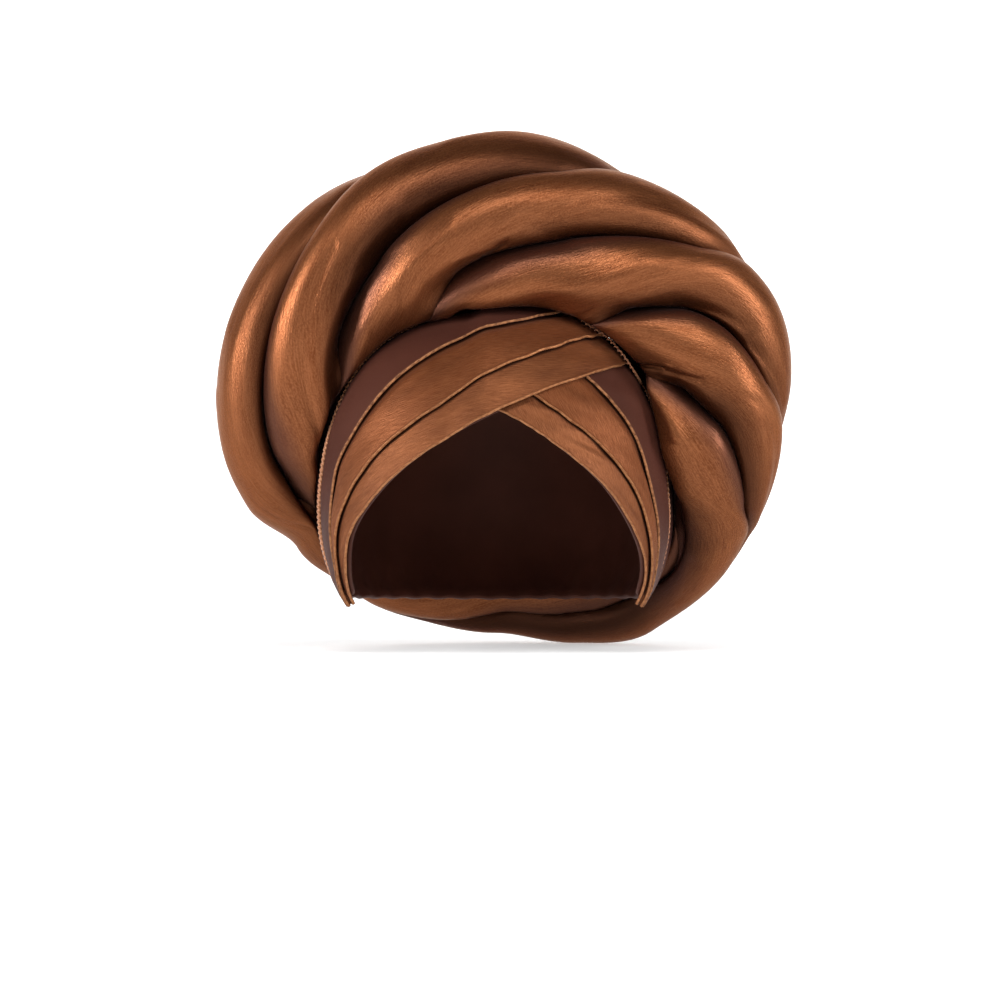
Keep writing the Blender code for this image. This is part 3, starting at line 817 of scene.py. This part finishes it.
class WrapSizes(bpy.types.PropertyGroup):
    """Sizes of the head wrap in metres."""

    cap_half_width: size_property("Cap half width", "From the middle to the side", CAP_TOP_CORNER.x)
    cap_half_length: size_property("Cap half length", "From the middle to the back", CAP_TOP_CORNER.y)
    cap_crown: size_property("Cap crown", "From the widest level up to the crown", CAP_TOP_CORNER.z)
    cap_taper: size_property("Cap taper", "How far below its widest level the cap's form would close", 0.070)
    cap_wall: size_property("Cap wall", "Thickness of the cap and its lining", 0.002)
    cloth: size_property("Cloth", "Thickness of one pleat", 0.001)
    layer_gap: size_property("Layer gap", "Air between two layers of cloth", 0.0007)
    fold_bead: size_property("Fold bead", "How much thicker a pleat is along its fold", 0.0004)
    piping_radius: size_property("Piping radius", "Radius of the sewn cord beside the pleats", 0.0009)
    ring_width: size_property("Ring width", "Thickness of the rolls' bundle, seen from the front", 0.096)
    ring_depth: size_property("Ring depth", "Thickness of the rolls' bundle, seen from the side", 0.100)
    roll_gap: size_property("Roll gap", "Air between two rolls", 0.0006)
    roll_rest: size_property("Roll rest", "Air between the rolls and what they rest on", 0.0004)
    roll_valley: FloatProperty(
        name="Crease depth", description="Where the creases end, as a share of the bundle's radius",
        default=0.57, min=0.4, max=0.9, subtype="FACTOR",
    )


class WrapColours(bpy.types.PropertyGroup):
    """Colours of the head wrap."""

    satin_deep: colour_property("Deep satin", "Satin between the streaks", (0.100, 0.0260, 0.0078))
    satin_mid: colour_property("Satin", "The rolls' main brown", (0.155, 0.0430, 0.0135))
    satin_light: colour_property("Light satin", "Streaks that catch the light", (0.36, 0.133, 0.055))
    # Painted sheen: the plum colour painted along the rolls' outer edges
    satin_plum: colour_property("Plum threads", "Threads along the rolls' edges", (0.060, 0.025, 0.021))
    # Painted shade: the colour painted into the rolls' creases and inner sides and under the pleats' folds
    satin_crease: colour_property("Crease", "Satin deep in the creases", (0.018, 0.005, 0.003))
    band_deep: colour_property("Deep band", "Darker patches of the pleats", (0.098, 0.0275, 0.0102))
    band_light: colour_property("Light band", "Lighter patches of the pleats", (0.175, 0.055, 0.019))
    # Partly wear and partly a painted highlight along the pleats' folds, and the real colour of the cord's
    # thread
    fold_highlight_and_thread: colour_property("Fold", "Worn folds and thread", (0.40, 0.175, 0.075))
    panel_dark: colour_property("Dark panel", "The smooth dark cloth", (0.045, 0.0135, 0.0085))
    panel_light: colour_property("Light panel", "Its lighter patches", (0.062, 0.0190, 0.0118))
    paper: colour_property("Backdrop", "The studio's floor and wall", (0.88, 0.88, 0.88))


def wrap_of(context):
    """The wrap's sizes, colours and form."""
    sizes = context.scene.wrap_sizes
    return sizes, context.scene.wrap_colours, WrapForm(sizes)


class AddCap(bpy.types.Operator):
    """Add the cap that grips the head, with a hemmed rim"""

    bl_idname = "headwrap.cap"
    bl_label = "Cap"

    def execute(self, context):
        sizes, colours, form = wrap_of(context)
        turn = np.linspace(-180, 180, CAP_COLUMNS + 1)[None, :]
        v = np.linspace(0, 1, CAP_ROWS + 1)[:, None]
        low = form.rim_rise(turn)
        rise = low + (form.crown - low) * np.sin(v * np.pi / 2)
        behind = ease((np.abs(turn) - BACK_FROM) / BACK_EASE)
        height = rise - low
        hem = HEM_SWELL * behind * ease((HEM_HEIGHT - height) / HEM_STEP)
        gather = GATHER_SWELL * behind * np.sin(np.radians(turn) * GATHERS) * np.exp(-height / GATHER_HEIGHT)
        outer = form.cap_point(turn, rise, hem + gather)
        inner = form.cap_point(turn, rise, -sizes.cap_wall + gather)
        edge = form.cap_point(turn[0], low[0] - EDGE_DROP, -sizes.cap_wall / 2)[None]
        points = np.concatenate([inner[::-1], edge, outer])
        points[0] = points[0].mean(axis=0)
        points[-1] = points[-1].mean(axis=0)
        along = np.radians(turn) * form.half_width
        marks = {"fold_wear_and_highlight": 0.0, "painted_fold_shadow": 0.0}
        piece = grid_piece("cap_shell", points, (along, length_of(points)), marks)
        dress(piece, panel_satin("cap_satin", colours), "shade_satin", "head_cap")
        return {"FINISHED"}


class AddPleats(bpy.types.Operator):
    """Add the pleats and the dark panels that cross over the brow"""

    bl_idname = "headwrap.pleats"
    bl_label = "Pleats and panels"

    def add_layer(self, context, name, table, column, material, slot):
        sizes, _, form = wrap_of(context)
        cloth = sizes.cloth
        far = OVERLAP_END if column < 2 else 1.0
        share = np.linspace(0, 1, PLEAT_STATIONS)[:, None]
        ends = [form.cap_point(*form.fold(table, column + side, share)) for side in (0, 1)]
        width = np.linalg.norm(ends[1] - ends[0], axis=-1)
        radius = np.minimum(cloth * FOLD_ROUND, width / 6)

        near = np.array(FOLD_PLACES) * radius / width
        open_face = np.linspace(0, 1, PLEAT_COLUMNS)[None, 1:]
        rest = near[:, -1:] + (TUCK_PLACE - 0.01 - near[:, -1:]) * open_face
        tucked = np.linspace(TUCK_PLACE, 1.0, 8)
        if far > 1:
            tucked = np.append(tucked, np.linspace(1.0, far, 5)[1:])
        tucked = np.broadcast_to(tucked, (PLEAT_STATIONS, len(tucked)))
        across = np.concatenate([near, rest, tucked], axis=1)
        distance = across * width

        seed = 11 + 3 * column + (40 if table is LOWER_PLEATS else 0)
        wobble = waves(share, 0, seed, (3, 18), (0, 1), 14)
        lump = 1 + 0.12 * waves(share, 0, seed + 1, (20, 90), (0, 1), 14)
        swell = waves(share, across, seed + 2, (2, 9), (0.5, 1.5), 8)
        turn, rise, lift = form.pleat_place(table, column, share, across)
        rise = rise + FOLD_WOBBLE * wobble * np.exp(-distance / 0.004) * ease(share / 0.1)
        round_off = np.sqrt(1 - (1 - np.clip(distance / radius, 0, 1)) ** 2)
        bead = sizes.fold_bead * lump * np.exp(-(((distance - radius) / BEAD_WIDTH) ** 2))
        swell = CLOTH_SWELL * swell * (1 - np.exp(-distance / 0.006))
        middle = lift + 0.55 * cloth
        outer = form.cap_point(turn, rise, middle + (0.45 * cloth + bead + swell) * round_off)
        inner = form.cap_point(turn, rise, middle - 0.55 * cloth * round_off)
        points = np.concatenate([inner[:, :0:-1], outer, inner[:, -1:]], axis=1)

        # A mark along the fold for a lighter tone, partly wear and partly a painted highlight
        worn = np.exp(-((distance / FOLD_WEAR_AND_HIGHLIGHT_WIDTH) ** 2))
        worn = np.concatenate([np.zeros_like(worn[:, :0:-1]), worn, np.zeros_like(worn[:, :1])], axis=1)
        # A mark for the painted shadow line just below the next fold
        under = np.exp(-((np.maximum(0, 1 - across) * width / UNDER_WIDTH) ** 2))
        under = np.concatenate([np.zeros_like(under[:, :0:-1]), under, under[:, -1:]], axis=1)
        along = length_of(outer[:, across.shape[1] // 2])[:, None]
        girth = np.concatenate([-distance[:, :0:-1], distance, distance[:, -1:] + cloth], axis=1)
        piece = grid_piece(name, points, (along, girth), {"fold_wear_and_highlight": worn, "painted_fold_shadow": under})
        dress(piece, material, slot, name.replace("satin_", ""))

    def execute(self, context):
        colours = context.scene.wrap_colours
        for side, table, slant in (("right", UPPER_PLEATS, 0.35), ("left", LOWER_PLEATS, -0.5)):
            for column, layer in enumerate(("brow_pleat", "middle_pleat")):
                tones = (colours.band_deep, colours.band_light)
                if column == 1:
                    tones = (colours.satin_deep, colours.satin_mid)
                band = band_satin(f"{side}_{layer}_satin", colours, slant, *tones)
                self.add_layer(context, f"satin_{side}_{layer}", table, column, band, "brown_satin")
            panel = panel_satin(f"{side}_panel_satin", colours)
            self.add_layer(context, f"satin_{side}_top_panel", table, 2, panel, "shade_satin")
        return {"FINISHED"}


class AddPiping(bpy.types.Operator):
    """Add the sewn cord along both seams: one twisted, one with looped stitches"""

    bl_idname = "headwrap.piping"
    bl_label = "Piping"

    def add_cord(self, context, name, table, start, end, beyond, widen, loops):
        """Sews a cord along a seam from share start to end, and beyond it. Its stitches turn to loops."""
        sizes, colours, form = wrap_of(context)
        turn, rise = form.fold(table, 3, np.linspace(start, end, SEAM_STATIONS))
        lift = np.full(SEAM_STATIONS, sizes.piping_radius + form.gap)
        aside = np.degrees(lift / (form.half_width * form.cap_girth(rise)))
        turn = turn + np.sign(turn) * aside
        if beyond:
            more = np.array(beyond).T
            turn, rise = np.append(turn, more[0]), np.append(rise, more[1] * form.crown)
            lift = np.append(lift, more[2])
        steps = np.hypot(np.diff(turn) / TURN_FOR_CROWN, np.diff(rise) / form.crown)
        place = np.concatenate([[0], np.cumsum(steps)])
        t = np.linspace(0, 1, CORD_STATIONS)
        turn, rise, lift = (smooth_curve(place, part, t * place[-1]) for part in (turn, rise, lift))
        thick_by, thin_by, fall = THICK_STRETCH
        radius = sizes.piping_radius * (1 + widen * ease(t / thick_by) * ease((thin_by - t) / fall))
        centre = form.cap_point(turn, rise, lift + radius - sizes.piping_radius)
        run = length_of(centre)
        out = unit(form.cap_slope(centre))
        side = np.cross(unit(np.gradient(centre, axis=0)), out)

        phi = np.linspace(0, 2 * np.pi, PIPING_SIDES + 1)[None, :]
        turns = (2 * np.pi * run / STITCH_PITCH)[:, None]
        arc = np.abs(np.sin(turns / 2))
        looped = ease((t[:, None] - loops) / 0.2)
        centre = centre + side * looped * (LOOP_REACH * arc**0.8 - LOOP_INSET)
        twisted = 0.84 + 0.2 * np.cos(2 * phi - turns)
        loop = LOOP_THREAD + LOOP_KNOT * np.exp(-((arc / 0.3) ** 2))
        reach = radius[:, None] * (twisted + looped * (loop - twisted))
        ring = np.cos(phi)[..., None] * side[:, None] + np.sin(phi)[..., None] * out[:, None]
        points = centre[:, None] + ring * reach[..., None]
        piece = grid_piece(f"cord_{name}", points, (run[:, None], phi * sizes.piping_radius))
        dress(piece, piping_thread(f"{name}_thread", colours), "piping_thread", name)

    def execute(self, context):
        self.add_cord(context, "right_piping", UPPER_PLEATS, 0.02, 0.62, None, 0.7, 0.45)
        self.add_cord(context, "left_piping", LOWER_PLEATS, 0.02, 0.84, OVER_TIPS, 0.0, 0.2)
        return {"FINISHED"}


class AddRolls(bpy.types.Operator):
    """Add the six padded satin rolls that wind around the ring"""

    bl_idname = "headwrap.rolls"
    bl_label = "Padded rolls"

    def add_roll(self, context, index):
        sizes, colours, form = wrap_of(context)
        across, height = roll_section()
        angle = np.linspace(-180, 180, ROLL_STATIONS + 1)[:, None]
        along = (angle + 180) / 360
        crown = ease(2 * np.maximum(height, 0))
        seed = 100 + 10 * index
        relief = LONG_RELIEF * waves(along, across / 2, seed, (1, 4), (0.5, 1.9), 7)
        relief = relief + SHORT_RELIEF * waves(along, across / 2, seed + 1, (5, 24), (1.5, 5), 12)
        relief = relief + dents_in(index + 1, angle, across)
        points = form.roll_points(index, angle, across, height, relief * crown)
        run = length_of(points[:, ARC_POINTS // 2])[:, None]
        girth = length_of(points.transpose(1, 0, 2)).transpose(1, 0).mean(axis=0)
        # Painted shade: a mark that darkens each roll near its creases and over its inner side
        crease = ease((TUCK_HEIGHT - height) / TUCK_HEIGHT) ** np.where(across < 0, *TUCK_FALLS)
        start, strength = INNER_SIDES[index]
        crease = np.maximum(crease, strength * ease((start - across) / INNER_SIDE_FADE))
        # The rim mark places the painted plum sheen along each roll's outer side
        marks = {"crease": crease, "rim": ease((across - RIM_FROM) / RIM_EASE)}
        piece = grid_piece(f"satin_roll_{index + 1}", points, (run, girth), marks)
        satin = roll_satin(f"roll_{index + 1}_satin", colours, index + 1)
        dress(piece, satin, "brown_satin", f"padded_roll_{index + 1}")

    def execute(self, context):
        for index in range(len(CREASES)):
            self.add_roll(context, index)
        return {"FINISHED"}


class AddStudio(bpy.types.Operator):
    """Add the pale floor, the soft lights and the camera"""

    bl_idname = "headwrap.studio"
    bl_label = "Studio"

    def add_light(self, context, name, place, size, power, target=WRAP_MIDDLE):
        light = bpy.data.lights.new(name, "AREA")
        light.shape = "RECTANGLE"
        light.size, light.size_y = size
        light.energy = power
        lamp = bpy.data.objects.new(name, light)
        context.scene.collection.objects.link(lamp)
        lamp.location = place
        lamp.rotation_euler = (lamp.location - Vector(target)).to_track_quat("Z", "Y").to_euler()

    def add_paper(self, colours):
        side = np.linspace(-PAPER_SIDE, PAPER_SIDE, 13)[:, None]
        bend = np.linspace(0, np.pi / 2, 61)[1:]
        floor = np.linspace(PAPER_FRONT, PAPER_BEND, 12)
        wall = np.linspace(BEND_RADIUS + 0.4, PAPER_TOP, 3)
        back = PAPER_BEND + BEND_RADIUS
        y = np.concatenate([floor, PAPER_BEND + BEND_RADIUS * np.sin(bend), np.full(3, back)])
        z = np.concatenate([np.zeros(12), BEND_RADIUS * (1 - np.cos(bend)), wall])
        z = z + CAD_BOX[0].z - FLOOR_GAP
        points = np.stack(np.broadcast_arrays(side, y[None], z[None]), axis=-1)
        paper = grid_backdrop("studio_paper", points)
        paper.data.materials.append(studio_paper("studio_paper", colours))

    def add_air(self, context):
        """Faint light from all around, and plain white where a camera looks past the paper."""
        world = bpy.data.worlds.new("studio_air")
        context.scene.world = world
        world.use_nodes = True
        nodes = Nodes(world.node_tree)
        air = world.node_tree.nodes["Background"]
        air.inputs["Color"].default_value = (1, 1, 1, 1)
        seen = nodes.add("ShaderNodeLightPath").outputs["Is Camera Ray"]
        nodes.link(nodes.spread(seen, 0.0, 1.0, AIR_STRENGTH, 1.0), air.inputs["Strength"])

    def add_camera(self, context):
        eye = bpy.data.cameras.new("photo_view")
        eye.sensor_width = 36
        eye.lens = CAMERA_LENS
        camera = bpy.data.objects.new("photo_view", eye)
        context.scene.collection.objects.link(camera)
        camera.location = CAMERA_PLACE
        camera.rotation_euler = (math.pi / 2, 0, 0)
        context.scene.camera = camera

    def execute(self, context):
        self.add_paper(context.scene.wrap_colours)
        for name, light in LIGHTS.items():
            self.add_light(context, name, *light)
        self.add_air(context)
        self.add_camera(context)
        context.scene.view_settings.view_transform = "Standard"
        return {"FINISHED"}


class HeadWrapPanel(bpy.types.Panel):
    """Lists the wrap's sizes, colours and pieces"""

    bl_idname = "VIEW3D_PT_head_wrap"
    bl_label = "Head wrap"
    bl_space_type = "VIEW_3D"
    bl_region_type = "UI"
    bl_category = "Head wrap"

    def draw(self, context):
        for group in (context.scene.wrap_sizes, context.scene.wrap_colours):
            box = self.layout.box()
            for key in group.bl_rna.properties.keys():
                if key not in ("rna_type", "name"):
                    box.prop(group, key)
        for operator in (AddCap, AddPleats, AddPiping, AddRolls, AddStudio):
            self.layout.operator(operator.bl_idname)


CLASSES = (
    WrapSizes, WrapColours, AddCap, AddPleats, AddPiping, AddRolls, AddStudio, HeadWrapPanel,
)


def register():
    for cls in CLASSES:
        bpy.utils.register_class(cls)
    bpy.types.Scene.wrap_sizes = PointerProperty(type=WrapSizes)
    bpy.types.Scene.wrap_colours = PointerProperty(type=WrapColours)


def unregister():
    del bpy.types.Scene.wrap_colours
    del bpy.types.Scene.wrap_sizes
    for cls in reversed(CLASSES):
        bpy.utils.unregister_class(cls)


def main():
    register()
    bpy.ops.headwrap.cap()
    bpy.ops.headwrap.pleats()
    bpy.ops.headwrap.piping()
    bpy.ops.headwrap.rolls()
    bpy.ops.headwrap.studio()


if __name__ == "__main__":
    main()
